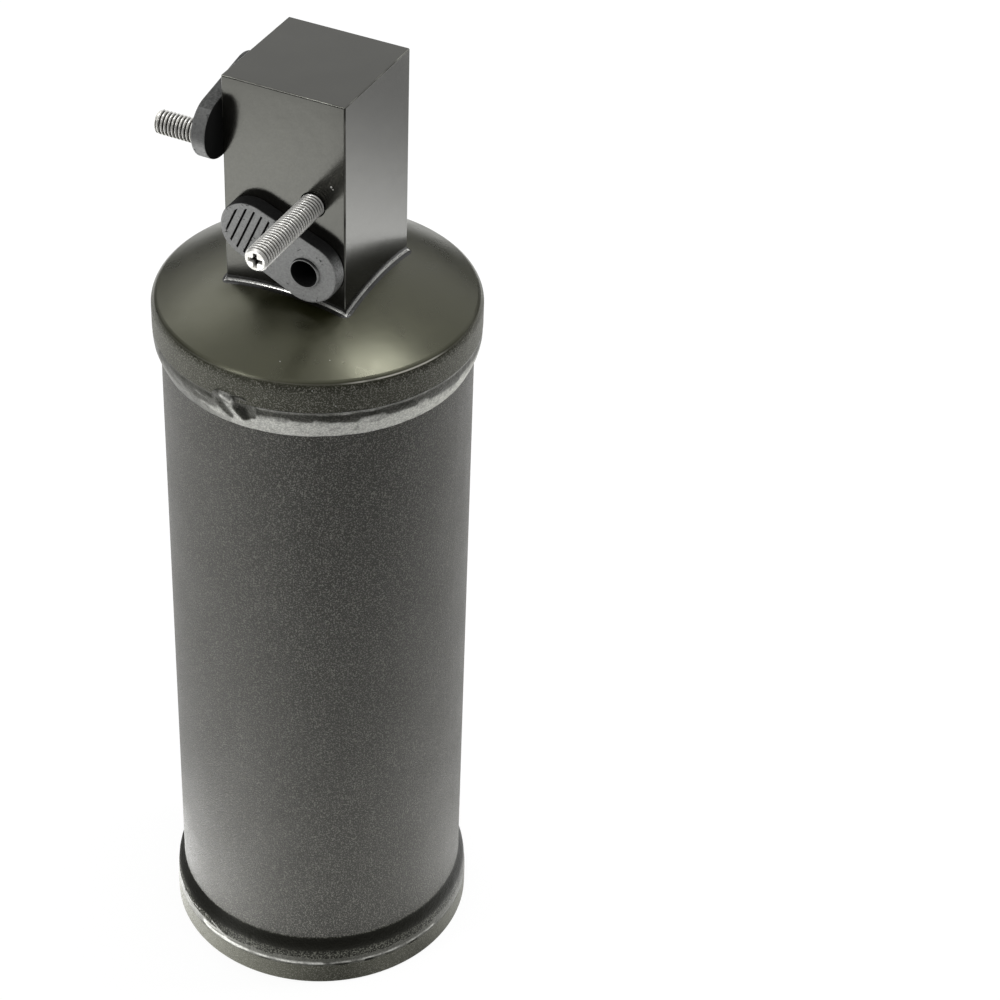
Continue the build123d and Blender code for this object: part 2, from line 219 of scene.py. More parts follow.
def compass(azimuth):
    """The level direction at so many degrees from +X towards +Y."""
    return cos(radians(azimuth)), sin(radians(azimuth)), 0


table_half, table_seen = 4.0, 0.90
corners = [(-1, -1), (1, -1), (1, 1), (-1, 1)]
table_mesh = bpy.data.meshes.new("table")
table_mesh.from_pydata(
    [(x * table_half, y * table_half, 0) for x, y in corners], [], [(0, 1, 2, 3)]
)
table = bpy.data.objects.new("table", table_mesh)
bpy.context.scene.collection.objects.link(table)

table_white = bpy.data.materials.new("table_white")
open_graph(table_white)
_, seen = white_for_the_eye()
place = node("TexCoord").outputs["Object"]
table_glow = spread(along(place, compass(-42)), 0.06, 0.22, 1.12, 0.0)
# Each pool: x and y of its middle, its radius in metres, and the glow it adds.
pools = (
    (-0.20, -0.36, 0.15, 1.7), (0.180, 0.285, 0.11, 1.2), (0.235, 0.430, 0.09, -0.8),
    (-0.052, -0.015, 0.038, 2.9), (-0.030, -0.046, 0.045, 2.3), (0.026, -0.037, 0.022, -0.9),
    (0.040, -0.016, 0.020, -0.6), (0.062, 0.026, 0.042, 1.1), (0.158, 0.372, 0.100, -0.55),
)
for pool_x, pool_y, pool_r, pool_glow in pools:
    middle = (pool_x, pool_y, 0)
    away = node("VectorMath", {"operation": "DISTANCE"}, _0=place, _1=middle)
    pool = spread(away.outputs["Value"], 0.0, pool_r, pool_glow, 0.0)
    table_glow = sums("ADD", table_glow, pool)
glow = blend(seen, larger(table_glow, 0.0), table_seen)
paint_coat = node("BsdfDiffuse", None, Color=(0.15, 0.15, 0.15, 1))
shine = node("Emission", None, Strength=glow)
both = node("AddShader", None, _0=paint_coat.outputs[0], _1=shine.outputs[0])
node("OutputMaterial", None, Surface=both.outputs[0])
table_mesh.materials.append(table_white)
print("table", len(tree.nodes), "nodes")

# %% [markdown]
# ## The room and its lamps
#
# A white sheet hangs behind the bottle and the ceiling is white. The sides
# are dark near the horizon, and so is the corner where the photographer
# stands. One softbox hangs overhead behind the bottle and makes the round
# highlight on its crown, a large one at the left lights the tube's side, and
# one at the front left draws the bright lines along the braze and the rims of
# the plugs. A softbox is given here by how bright its cloth looks, because
# that brightness is what the paint mirrors. Blender wants watts, and those
# follow from the brightness and the size.

# %% Light the room
room = bpy.data.worlds.new("room")
bpy.context.scene.world = room
open_graph(room)
path, seen = white_for_the_eye()
way = node("TexCoord").outputs["Generated"]
height = parts(way)["Z"]
sheet = spread(along(way, compass(114)), 0.15, 0.65, 0.0, 0.76)
sheet = times(sheet, spread(height, 0.10, 0.40))
ceiling = spread(height, 0.40, 0.75, 0.0, 0.80)
open_side = spread(along(way, compass(-48)), 0.15, 0.75, 1.0, 0.15)
mirrored = sums("ADD", larger(sheet, times(ceiling, open_side)), 0.06)
level = blend(path["Is Glossy Ray"], 0.70, mirrored)
air = node("Background", None, Color=(1, 1, 1, 1), Strength=blend(seen, level, 1.0))
node("OutputWorld", None, Surface=air.outputs[0])


def softbox(name, azimuth, elevation, distance, width, height, brightness):
    """A lamp with a cloth front, aimed at the middle of the bottle."""
    aim = Vector((0, 0, 0.15))
    x, y, _ = compass(azimuth)
    level = cos(radians(elevation))
    way = Vector((x * level, y * level, sin(radians(elevation))))
    light = bpy.data.lights.new(name, "AREA")
    light.shape = "RECTANGLE"
    light.size, light.size_y = width, height
    light.energy = brightness * pi * width * height
    lamp = bpy.data.objects.new(name, light)
    lamp.location = aim + way * distance
    lamp.rotation_mode = "QUATERNION"
    lamp.rotation_quaternion = way.to_track_quat("Z", "Y")
    lamp.visible_camera = False
    bpy.context.scene.collection.objects.link(lamp)
    print(name, round(light.energy, 2), "W")


softbox("overhead_softbox", 39, 71, 1.2, 0.16, 0.38, 13.5)
softbox("left_softbox", 153, 42, 1.5, 0.75, 0.6, 1.1)
softbox("front_left_softbox", -122, 44, 1.4, 0.16, 0.22, 13.0)

# %% [markdown]
# ## Dressing a solid
#
# A solid from the CAD model already has one empty finish. Giving it a new one
# leaves its shape alone.

# %% Make painting helpers
def new_finish(name):
    """An empty finish, its surface shader, and where a point lies on the object."""
    finish = bpy.data.materials.new(name)
    open_graph(finish)
    surface = node("BsdfPrincipled")
    node("OutputMaterial", None, Surface=surface.outputs[0])
    where = node("TexCoord").outputs["Object"]
    return finish, surface, where


def dress(finish, *names):
    """Gives a finish to solids of the CAD model."""
    for name in names:
        solid = solids[name]
        if not solid.material_slots:
            solid.data.materials.append(finish)
        for slot in solid.material_slots:
            slot.material = finish
    print(finish.name, "on", ", ".join(names))


# %% [markdown]
# ## Paint on the tube
#
# The tube carries a thin black paint with a fine sandy grain. Each grain is
# about a quarter of a millimetre, so it reads as a faint sparkle rather than
# as bumps. One noise does it all: it tips the surface a little, leaves the
# tops of the grains paler, and makes them a touch rougher. A second, far
# wider noise keeps the shine from being quite even.

# %% Paint the tube
deep_black = (0.0002, 0.0002, 0.0001, 1)
shade_black = (0.002, 0.002, 0.001, 1)
grain_depth = 0.0003


def sandy_paint(where):
    """The grain of the sandy paint, its colour and its roughness."""
    grain = cloud(where, 0.00035, 1.5, 0.6)
    colour = tint(spread(grain, 0.50, 0.63), deep_black, (0.165, 0.162, 0.145, 1))
    return grain, colour, spread(grain, 0.38, 0.62, 0.42, 0.64)


tube_paint, surface, where = new_finish("tube_paint")
grain, sandy, matt = sandy_paint(where)
patches = spread(cloud(where, 0.012), 0.3, 0.7, -0.02, 0.02)
connect(
    surface, Base_Color=sandy, Roughness=sums("ADD", matt, patches),
    Normal=bumps(grain, 1.0, grain_depth),
    Specular_IOR_Level=1.0, Specular_Tint=(1.0, 0.99, 0.90, 1),
)
dress(tube_paint, "shell_tube")

# %% [markdown]
# ## Paint on the pressed ends
#
# The crown is smooth, with an olive black that shines softly. Its skirt and
# the pan below were painted together with the tube, so they have the same
# sandy grain, and on the pan a painted shade darkens it. One finish does both:
# the height of a point says which of the two it gets, and the change runs over
# the rounded edge in about a millimetre. On the right that edge gets a fine
# pale line, a painted highlight.

# %% Paint the ends
cap_paint, surface, where = new_finish("cap_paint")
spot = parts(where)
grain, sandy, matt = sandy_paint(where)
waves_slow = cloud(where, 0.006)
crown = spread(spot["Z"], 0.1968, 0.1980)
olive = tint(
    spread(waves_slow, 0.3, 0.7),
    (0.006, 0.0063, 0.0010, 1), (0.009, 0.0093, 0.0020, 1),
)
# Painted shade on the pan: its sandy grain darkens towards black.
pan_shade = spread(spot["Z"], 0.010, 0.030, 0.30, 0.0)
skin = tint(crown, tint(pan_shade, sandy, deep_black), olive)
# A fine pale line along the shoulder's edge, on the right only: a painted highlight.
edge_z = 0.1978
from_edge = sums("ABSOLUTE", sums("SUBTRACT", spot["Z"], edge_z))
scuffs_and_highlight = spread(from_edge, 0.00004, 0.00022, 1.0, 0.0)
to_right = along(where, (0.84, -0.54, 0))
scuffs_and_highlight = times(scuffs_and_highlight, spread(to_right, 0.0362, 0.0388, 0.10, 1.0))
scuffs_and_highlight = times(scuffs_and_highlight, spread(waves_slow, 0.25, 0.50, 0.5, 1.0))
fine = bumps(grain, blend(crown, 1.0, 0.0), grain_depth)
connect(
    surface, Base_Color=tint(scuffs_and_highlight, skin, (0.44, 0.43, 0.39, 1)),
    Roughness=blend(crown, matt, spread(waves_slow, 0.3, 0.7, 0.27, 0.31)),
    Normal=bumps(waves_slow, 0.05, 0.001, Normal=fine),
    Specular_IOR_Level=1.0, Specular_Tint=(1.0, 1.0, 0.76, 1),
)
dress(cap_paint, "top_cap", "bottom_cap")

# %% [markdown]
# ## Paint on the block
#
# The block is sawn from bar and machined, so its faces are flat and take the
# paint as an even satin. Along its slightly rounded edges the paint is rubbed
# thin, and a pale painted highlight lies over them. Those edges lie farthest
# out in two directions at once, so the finish finds them from the two largest
# distances of a point.

# %% Paint the block
block_paint, surface, where = new_finish("block_paint")
grain = cloud(where, 0.0005)
waves_slow = cloud(where, 0.009)
black = tint(
    spread(waves_slow, 0.3, 0.7),
    (0.007, 0.0068, 0.006, 1), (0.011, 0.0107, 0.0095, 1),
)
spot = parts(where)
side_x, side_y = (sums("ABSOLUTE", spot[axis]) for axis in "XY")
block_low, block_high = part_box("head_block")
block_half = block_high.x
from_top = sums("SUBTRACT", spot["Z"], block_high.z - block_half)
top_edge = sums("MINIMUM", larger(side_x, side_y), from_top)
# Pale edges: paint rubbed thin, with a painted highlight over it.
worn_edge_highlight = larger(sums("MINIMUM", side_x, side_y), top_edge)
worn_edge_highlight = spread(worn_edge_highlight, block_half - 0.00030, block_half - 0.00016)
worn_edge_highlight = times(worn_edge_highlight, spread(waves_slow, 0.40, 0.60, 0.15, 1.0))
fine = bumps(grain, 0.03, 0.0001)
connect(
    surface, Base_Color=tint(worn_edge_highlight, black, (0.20, 0.20, 0.18, 1)),
    Roughness=spread(grain, 0.3, 0.7, 0.15, 0.19),
    Normal=bumps(waves_slow, 0.04, 0.001, Normal=fine),
    Specular_IOR_Level=1.0, Specular_Tint=(1.0, 1.0, 0.90, 1),
)
dress(block_paint, "head_block")

# %% [markdown]
# ## Paint on the welds
#
# A weld bead's underside turns down to the bright table, and there the finish
# paints light: a pale grey with a little shine of metal. Where a bead turns up,
# in the corner above it, the finish paints shade, smooth and black. Both are
# worked out point by point when a bead is made, further down. The finish reads
# them from the points and lets a little noise break the border.

# %% Paint the welds
def read_points(label):
    """A number that each point of a mesh carries."""
    return node("Attribute", {"attribute_name": label}).outputs["Fac"]


weld_paint, surface, where = new_finish("weld_paint")
grain = cloud(where, 0.00045, 2.0, 0.6)
puddles = cloud(where, 0.0028)
# Painted light: the pale grey of a bead's underside, read from its points.
painted_light = read_points("painted_bead_light")
painted_light = times(painted_light, spread(puddles, 0.25, 0.75, 0.45, 1.55, smooth=False))
painted_light = spread(painted_light, 0.05, 0.95)
# Painted shade: the smooth black where a bead turns up, read from its points.
painted_shade = read_points("painted_bead_shade")
painted_shade = times(painted_shade, spread(puddles, 0.25, 0.75, 0.75, 1.0, smooth=False))
black = tint(spread(grain, 0.44, 0.62), (0.0005, 0.0005, 0.0004, 1), (0.050, 0.050, 0.042, 1))
grey = tint(spread(grain, 0.38, 0.64), (0.42, 0.42, 0.40, 1), (0.70, 0.70, 0.66, 1))
connect(
    surface, Base_Color=tint(painted_shade, tint(painted_light, black, grey), shade_black),
    Metallic=times(painted_light, 0.35),
    Roughness=blend(painted_shade, spread(puddles, 0.3, 0.7, 0.38, 0.50), 0.28),
    Normal=bumps(grain, blend(painted_shade, 1.0, 0.1), 0.00022),
    Specular_IOR_Level=1.0, Specular_Tint=(1.0, 1.0, 0.88, 1),
)
print(weld_paint.name, len(tree.nodes), "nodes")

# %% [markdown]
# ## Paint on the ledge
#
# The lower bead has a broad ledge against the tube. Its finish is a painted
# shade: dull and gritty, mirroring little, black where it turns up, and quite
# flat round the left.

# %% Paint the ledge of the lower weld
ledge_shade_paint, surface, where = new_finish("ledge_shade_paint")
grain = cloud(where, 0.00045, 2.0, 0.6)
gritty = tint(spread(grain, 0.46, 0.62), (0.004, 0.004, 0.003, 1), (0.125, 0.126, 0.106, 1))
to_left = along(where, (-0.92, -0.39, 0))
# The black of the painted shade where the ledge turns up, on a dull finish that mirrors little.
connect(
    surface,
    Base_Color=tint(read_points("painted_bead_shade"), gritty, shade_black),
    Roughness=spread(to_left, 0.016, 0.032, 0.45, 0.95),
    Normal=bumps(grain, 0.8, 0.00022),
    Specular_IOR_Level=0.22, Specular_Tint=(1.0, 1.0, 0.85, 1),
)
print(ledge_shade_paint.name, len(tree.nodes), "nodes")

# %% [markdown]
# ## Paint on the braze
#
# The braze round the block's foot ran smooth and round, and the paint drew
# thin over it. Along its crest the bare metal shows as a bright line.

# %% Paint the braze
braze_paint, surface, where = new_finish("braze_paint")
runs = cloud(where, 0.002)
black = tint(spread(runs, 0.3, 0.7), (0.010, 0.010, 0.009, 1), (0.020, 0.020, 0.018, 1))
spot = parts(where)
beyond = larger(*(sums("ABSOLUTE", spot[axis]) for axis in "XY"))
beyond = sums("SUBTRACT", beyond, block_half + 0.00035)
crest = spread(sums("ABSOLUTE", beyond), 0.00008, 0.00024, 0.9, 0.0)
crest = times(crest, spread(runs, 0.20, 0.42))
connect(
    surface, Base_Color=tint(crest, black, (0.90, 0.90, 0.86, 1)),
    Metallic=crest, Roughness=spread(runs, 0.3, 0.7, 0.22, 0.32),
    Normal=bumps(runs, 0.2, 0.0003),
)
dress(braze_paint, "head_braze")

# %% [markdown]
# ## Zinc on the studs
#
# The studs are steel with a bright zinc plating, the only light metal to see.
# A metal mirrors its surroundings in its own colour. The plating is a little
# cloudy, and the thread's roots are darkened in colour as painted shade.

# %% Plate the studs
stud_zinc, surface, where = new_finish("stud_zinc")
clouds = cloud(where, 0.0012, 3.0, 0.6)
zinc = tint(spread(clouds, 0.3, 0.7), (0.88, 0.87, 0.82, 1), (0.99, 0.98, 0.95, 1))
# Painted shade in the thread's roots.
root_shade = spread(read_points("thread_root"), 0.18, 0.66, 0.0, 0.97)
connect(
    surface, Base_Color=tint(root_shade, zinc, (0.05, 0.048, 0.04, 1)),
    Metallic=0.65, Roughness=spread(clouds, 0.3, 0.7, 0.34, 0.24),
    Normal=bumps(clouds, 0.15, 0.00005),
)
print(stud_zinc.name, len(tree.nodes), "nodes")

# %% [markdown]
# ## Plastic of the plugs
#
# The plugs are moulded in black polyethylene. It is dull and slightly waxy,
# and its skin scuffs to grey, most of all on the flat of the tab. Painted
# shade darkens the floors of the grip grooves and the hollow at the middle, so
# the finish finds those by how deep a point lies below the plug's face. The
# upper walls and the back of the tab get painted shade too, as does the left
# plug wherever it does not turn down, and a few dark nicks are spread over all
# of it.

# %% Measure the plugs
wall = -block_half
stud_low, stud_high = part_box("front_stud")
stud_middle = (stud_low.x + stud_high.x) / 2
port_up = {"front_port_plug": 216.6, "left_port_plug": 248.8}
# Each plug: the way out of its port, the way across it, and the port's place on that.
plug_ways = {"front_port_plug": ("Y", "X", stud_middle), "left_port_plug": ("X", "Y", 0.0)}
print("ports at", list(port_up.values()), "mm")


# %% Mould the plugs
def worn_and_shaded(spot, lean, name):
    """Where one plug is scuffed, and where painted shade lies in its grooves, hollow and back."""
    out, across, middle = plug_ways[name]
    depth = sums("SUBTRACT", spot[out], getattr(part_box(name)[0], out.lower()))
    flat = spread(lean[out], -0.95, -0.7, 1.0, 0.0)
    proud = spread(depth, -0.0003, -0.0001, 1.0, 0.0)
    outside = spread(spot[out], wall - 0.0002, wall, 1.0, 0.0)
    # Painted shade on the floors of the grip grooves.
    groove = times(spread(depth, 0.00015, 0.0003), times(flat, outside))
    aside = sums("SUBTRACT", spot[across], middle)
    up = sums("SUBTRACT", spot["Z"], port_up[name] * MM)
    away = sums("SQRT", sums("ADD", times(aside, aside), times(up, up)))
    # Painted shade deep in the hollow at the middle.
    hollow = times(spread(away, 0.00342, 0.00352, 1.0, 0.0), spread(depth, -0.0010, -0.0009))
    # Painted shade on the back of the tab, which faces the block.
    behind = times(
        spread(lean[out], 0.3, 0.7),
        spread(spot[out], wall + 0.0002, wall + 0.0006, 1.0, 0.0),
    )
    return larger(flat, proud), larger(larger(groove, hollow), behind)


plug_plastic, surface, where = new_finish("plug_plastic")
grain = cloud(where, 0.0003, 3.0, 0.6)
scuffs = cloud(where, 0.0006, 4.0, 0.7, 0.4)
skin = tint(spread(scuffs, 0.36, 0.68), (0.13, 0.132, 0.13, 1), (0.27, 0.272, 0.266, 1))
scuffed = tint(spread(scuffs, 0.30, 0.70), (0.26, 0.263, 0.258, 1), (0.39, 0.393, 0.385, 1))
spot = parts(where)
lean = parts(node("NewGeometry").outputs["True Normal"])
past_front = spread(spot["Y"], wall, wall + 0.0002, 1.0, 0.0)
past_left = spread(spot["X"], wall, wall + 0.0002)
# Painted shade on the front plug's walls where they face up.
shade_and_nicks = times(spread(lean["Z"], 0.15, 0.75, 0.0, 0.96), past_front)
shade_and_nicks = times(shade_and_nicks, past_left)
scuffs_and_highlight = 0.0
for name in plug_ways:
    worn, shaded = worn_and_shaded(spot, lean, name)
    scuffs_and_highlight, shade_and_nicks = larger(scuffs_and_highlight, worn), larger(shade_and_nicks, shaded)
# On the left plug, painted shade on all but what turns down.
on_left = blend(past_left, 1.0, 0.0)
shade_and_nicks = larger(shade_and_nicks, times(on_left, spread(lean["Z"], -0.35, 0.15, 0.0, 0.58)))
# A few dark nicks in the plastic.
nicks = cloud(where, 0.0013, 2.0, 0.5, 0.8)
shade_and_nicks = larger(shade_and_nicks, spread(nicks, 0.66, 0.72, 0.0, 0.75))
skin = tint(scuffs_and_highlight, skin, scuffed)
waxy = spread(grain, 0.3, 0.7, 0.38, 0.50)
connect(
    # The near-black colour of the painted shade and the nicks.
    surface, Base_Color=tint(shade_and_nicks, skin, (0.002, 0.002, 0.002, 1)),
    Roughness=sums("ADD", shade_and_nicks, waxy, clamp=True),
    Normal=bumps(scuffs, 0.5, 0.0001),
)
dress(plug_plastic, *plug_ways)

# %% [markdown]
# ## What is inside
#
# The pickup tube, plates, spring and strainer are bare steel with a film of
# oil. The pads are white felt, and the drying beads are pale tan.

# %% Finish the inner pieces
bare_steel, surface, where = new_finish("bare_steel")
squeezed = node("VectorMath", {"operation": "MULTIPLY"}, _0=where, _1=(1, 1, 0.1))
drawn = cloud(squeezed.outputs[0], 0.0008, 3.0)
steel = tint(spread(drawn, 0.3, 0.7), (0.42, 0.41, 0.40, 1), (0.56, 0.55, 0.53, 1))
connect(
    surface, Base_Color=steel, Metallic=1.0,
    Roughness=spread(drawn, 0.3, 0.7, 0.3, 0.42),
)
dress(
    bare_steel, "pickup_tube", "strainer_ferrule", "strainer_screen", "strainer_foot",
    "lower_plate", "upper_plate", "pressure_spring",
)

felt, surface, where = new_finish("felt")
fibres = cloud(where, 0.0006, 5.0, 0.8, 1.5)
connect(
    surface, Roughness=0.95, Specular_IOR_Level=0.2,
    Base_Color=tint(fibres, (0.55, 0.53, 0.48, 1), (0.82, 0.80, 0.75, 1)),
    Normal=bumps(fibres, 0.8, 0.0004),
)
dress(felt, "lower_pad", "upper_pad")

desiccant, surface, where = new_finish("desiccant")
beads = node("TexVoronoi", None, Vector=where, Scale=1 / 0.0022).outputs
tops = node("Bump", {"invert": True}, Strength=1.0, Distance=0.001, Height=beads["Distance"])
connect(
    surface, Roughness=0.8,
    Base_Color=tint(beads["Color"], (0.55, 0.44, 0.30, 1), (0.72, 0.62, 0.46, 1)),
    Normal=tops.outputs[0],
)
dress(desiccant, "desiccant_bed")

# %% [markdown]
# ## Building a piece from points
#
# The pieces made again here are all surfaces laid out as a grid: rows along
# one way, columns round the other. One helper turns points and faces into an
# object, smooths its shading except over sharp edges, and lets it ride on the
# body of the solid that it stands for.

# %% Make a helper for pieces
def piece(name, points, faces, finish, body, slot_name, stands_for=(), sharp=35):
    """Makes a mesh in metres from points in millimetres."""
    mesh = bpy.data.meshes.new(name)
    mesh.from_pydata([tuple(p) for p in np.asarray(points) * MM], [], faces)
    mesh.validate()
    made = bpy.data.objects.new(name, mesh)
    bpy.context.scene.collection.objects.link(made)
    mesh.materials.append(finish)
    smooth(made, sharp)
    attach(made, body)
    if stands_for:
        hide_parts(*stands_for)
    print(name, len(mesh.polygons), "faces")
    return made


def smooth(made, sharp):
    """Smooth shading, with a hard edge wherever two faces meet more sharply."""
    made.data.polygons.foreach_set("use_smooth", [True] * len(made.data.polygons))
    made.data.set_sharp_from_angle(angle=radians(sharp))


def grid_faces(rows, columns):
    """Faces of a grid that closes round, with its points listed row by row."""
    faces = []
    for row in range(rows - 1):
        for column in range(columns):
            beside = (column + 1) % columns
            low, high = row * columns, (row + 1) * columns
            faces.append((low + column, low + beside, high + beside, high + column))
    return faces


def closed_faces(rows, columns):
    """Faces of a grid that closes both ways, like a ring, turned outward."""
    faces = grid_faces(rows, columns)
    last = (rows - 1) * columns
    faces += [(last + k, last + (k + 1) % columns, (k + 1) % columns, k) for k in range(columns)]
    return [tuple(reversed(f)) for f in faces]


def number_points(made, label, values):
    """Gives each point of a mesh a number, for a finish to read."""
    numbers = made.data.attributes.new(label, "FLOAT", "POINT")
    numbers.data.foreach_set("value", np.ravel(values).astype(np.float32))


def carve(made, tool, operation):
    """Cuts a mesh with another one for good, and removes the tool."""
    cut = made.modifiers.new(operation, "BOOLEAN")
    cut.operation = operation
    cut.solver = "EXACT"
    cut.object = tool
    seen = made.evaluated_get(bpy.context.evaluated_depsgraph_get())
    carved = bpy.data.meshes.new_from_object(seen)
    made.modifiers.clear()
    made.data = carved
    bpy.data.objects.remove(tool)


def lathe(profile, steps):
    """Points and faces of a (radius, height) profile turned round, closed at both ends."""
    angles = np.linspace(0, 2 * pi, steps, endpoint=False)
    points = [(r * cos(a), r * sin(a), z) for r, z in profile for a in angles]
    faces = grid_faces(len(profile), steps)
    faces.append(tuple(range(steps - 1, -1, -1)))
    faces.append(tuple(range((len(profile) - 1) * steps, len(profile) * steps)))
    return points, faces


# %% [markdown]
# ## The studs
#
# Each stud is a rolled M6 thread, with a chamfer at its tip and a cross
# recess to turn it by. A thread could be faked with stripes in the finish,
# but the crests show against the white, so it is cut for real. The profile of
# one turn is carried up the screw line: as it goes once round, it climbs by
# one pitch and meets the row above. The result is trimmed with a chamfered
# bar, and the recess is cut with a tapered cross.

# %% Measure the studs
thread_pitch, per_turn = 1.0, 84
stud_major_r = (stud_high.x - stud_low.x) / 2 / MM
stud_reach = (block_low.y - stud_low.y) / MM
stud_depth = (stud_high.y - block_low.y) / MM
stud_core_r = 2.5
# Each point: a share of the pitch, and how far it lies from the crest in mm.
thread_profile = [
    (0.0, -0.11), (0.07, -0.035), (0.15, 0.0), (0.23, -0.005), (0.31, -0.045),
    (0.39, -0.13), (0.54, -0.42), (0.62, -0.56), (0.69, -0.6), (0.76, -0.56),
    (0.85, -0.4),
]
print("stud radius", round(stud_major_r, 2), "mm")
print("out", round(stud_reach, 1), "mm, in", round(stud_depth, 1), "mm")


# %% Cut the thread
def thread_body(turns):
    """A bare thread along the axis, one pitch longer than the stud at each end."""
    count = len(thread_profile)
    columns = turns * per_turn + 1
    points = []
    for column in range(columns):
        angle = 2 * pi * column / per_turn
        for share, depth in thread_profile:
            radius = stud_major_r + depth
            height = (column / per_turn + share - 1.5) * thread_pitch
            points.append((radius * cos(angle), radius * sin(angle), height))
    faces = []
    for column in range(columns - 1 - per_turn):
        here, beside = column * count, (column + 1) * count
        for k in range(count - 1):
            faces.append((here + k, beside + k, beside + k + 1, here + k + 1))
        above_here, above_beside = here + per_turn * count, beside + per_turn * count
        faces.append((here + count - 1, beside + count - 1, above_beside, above_here))
    last = columns - 1 - per_turn
    bottom = [column * count for column in range(per_turn + 1)] + list(range(count - 1, 0, -1))
    top = [(last + column) * count for column in range(per_turn + 1)]
    top += [last * count + k for k in range(count - 1, 0, -1)]
    for rim, height, turned in ((bottom, -1.5, True), (top, turns - 2.0, False)):
        points.append((0, 0, height * thread_pitch))
        middle = len(points) - 1
        for first, second in zip(rim, rim[1:] + rim[:1]):
            faces.append((middle, second, first) if turned else (middle, first, second))
    return points, faces


def cross_tool(arm=1.85, half_width=0.5, depth=1.7):
    """A tapered cross with its point downwards, for the driver recess."""
    def cross(a, w, c, z):
        corner = [(a, -w), (a, w), (w + c, w), (w, w + c)]
        ring = []
        for quarter in range(4):
            co, si = cos(quarter * pi / 2), sin(quarter * pi / 2)
            ring += [(x * co - y * si, x * si + y * co, z) for x, y in corner]
        return ring

    # Rings above the tip, at the tip and near the bottom: arm, half width, corner, height.
    rings = cross(arm + 0.25, half_width + 0.06, 0.3, 0.5)
    rings += cross(arm, half_width, 0.25, 0.0)
    rings += cross(arm - 0.45 * depth, half_width - 0.10 * depth, 0.18, -depth)
    points = rings + [(0, 0, -depth - 0.5)]
    faces = grid_faces(3, 16)
    faces = [tuple(reversed(f)) for f in faces]
    faces.append(tuple(range(16)))
    faces += [(48, 32 + (k + 1) % 16, 32 + k) for k in range(16)]
    return points, faces


def make_stud(name, axis_point, way, across, stands_for):
    """A threaded stud whose axis leaves the block at a point, in mm."""
    def zinc_piece(label, points, faces, **more):
        return piece(label, points, faces, stud_zinc, "canister", "stud_zinc", **more)

    tip, chamfer_high, chamfer_wide, clear_r = stud_reach, 0.95, 0.55, 3.3
    thread = zinc_piece("thread_" + name, *thread_body(int(stud_reach) + 4))
    bar = [
        (stud_core_r, -stud_depth), (stud_core_r, 0.0), (clear_r, 0.0),
        (clear_r, tip - chamfer_high), (stud_major_r - chamfer_wide, tip),
    ]
    carve(thread, zinc_piece("trim_" + name, *lathe(bar, per_turn)), "INTERSECT")
    points, faces = cross_tool()
    points = [(x, y, z + tip) for x, y, z in points]
    carve(thread, zinc_piece("cross_" + name, points, faces), "DIFFERENCE")
    bolt = thread.data
    bevel, overlap, core_steps = 0.4, 0.02, 48
    core = [
        (stud_core_r - bevel, -stud_depth), (stud_core_r, -stud_depth + bevel),
        (stud_core_r, overlap),
    ]
    core_points, core_faces = lathe(core, core_steps)
    start = len(bolt.vertices)
    at = np.zeros(start * 3)
    bolt.vertices.foreach_get("co", at)
    own = at.reshape(-1, 3) / MM
    own_faces = [tuple(f.vertices) for f in bolt.polygons]
    joined = np.vstack([own, np.array(core_points)])
    away = np.hypot(joined[:, 0], joined[:, 1])
    turn = Matrix((across, Vector(way).cross(Vector(across)), way)).transposed()
    placed = joined @ np.array(turn.to_3x3()).T + np.array(axis_point)
    bpy.data.objects.remove(thread)
    faces = own_faces + [tuple(v + start for v in f) for f in core_faces]
    made = zinc_piece(name, placed, faces, stands_for=[stands_for], sharp=30)
    thread_deep = 0.6
    depth = np.clip((stud_major_r - away) / thread_deep, 0, 1)
    number_points(made, "thread_root", depth * (joined[:, 2] < tip - thread_deep))


# %% Make both studs
front_axis = (stud_middle / MM, block_low.y / MM, (stud_low.z + stud_high.z) / 2 / MM)
make_stud("front_thread", front_axis, (0, -1, 0), (-1, 0, 0), "front_stud")
left_low, left_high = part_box("left_stud")
left_axis = (
    block_low.x / MM, (left_low.y + left_high.y) / 2 / MM, (left_low.z + left_high.z) / 2 / MM
)
make_stud("left_thread", left_axis, (-1, 0, 0), (0, -1, 0), "left_stud")

# %% [markdown]
# ## Drawing on a weld
#
# A weld bead is a frozen stream. Seen closely it has folds, hollows where the
# arc paused, and lips where metal ran over cold metal. The bead is made as a
# ring of points, and those marks are pressed into it one by one. Each mark is
# a stroke from one place to another on the unrolled ring, given by its angle
# and its height, with a width and a rise in millimetres. A negative rise
# presses in. Gentle random waves lie under the strokes, so that no stretch
# of the bead is quite like the next.

# %% Make the weld tools
tube_r = (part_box("shell_tube")[1].x) / MM
skirt_r = (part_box("top_cap")[1].x) / MM
bead_most_r = skirt_r - 0.005
angles = np.linspace(-180, 180, 1080, endpoint=False)
ring_r = 39.6
per_degree = ring_r * pi / 180


def ease(share):
    """A share from 0 to 1 that starts and ends softly."""
    return share * share * (3 - 2 * share)


def waves(angle, seed, lowest, highest, count=14):
    """A smooth random line that closes on itself, about 1 high. Angle in degrees."""
    random = np.random.default_rng(seed)
    total = np.zeros_like(angle, dtype=float)
    for k in random.integers(lowest, highest + 1, count):
        total += np.sin(np.radians(angle) * k + random.uniform(0, 2 * pi))
    return total / sqrt(count)


def ripples(angle, up, seed, lowest, highest, lean, count=24):
    """Random ripples over the unrolled ring, leaning by so many degrees per mm of height."""
    random = np.random.default_rng(seed)
    total = np.zeros(np.broadcast(angle, up).shape)
    for k in random.integers(lowest, highest + 1, count):
        slope = lean * random.uniform(0.6, 1.4)
        drift, start = random.normal(0, 0.5), random.uniform(0, 2 * pi)
        total += np.sin(np.radians(angle - slope * up) * k + up * drift + start)
    return total / sqrt(count)


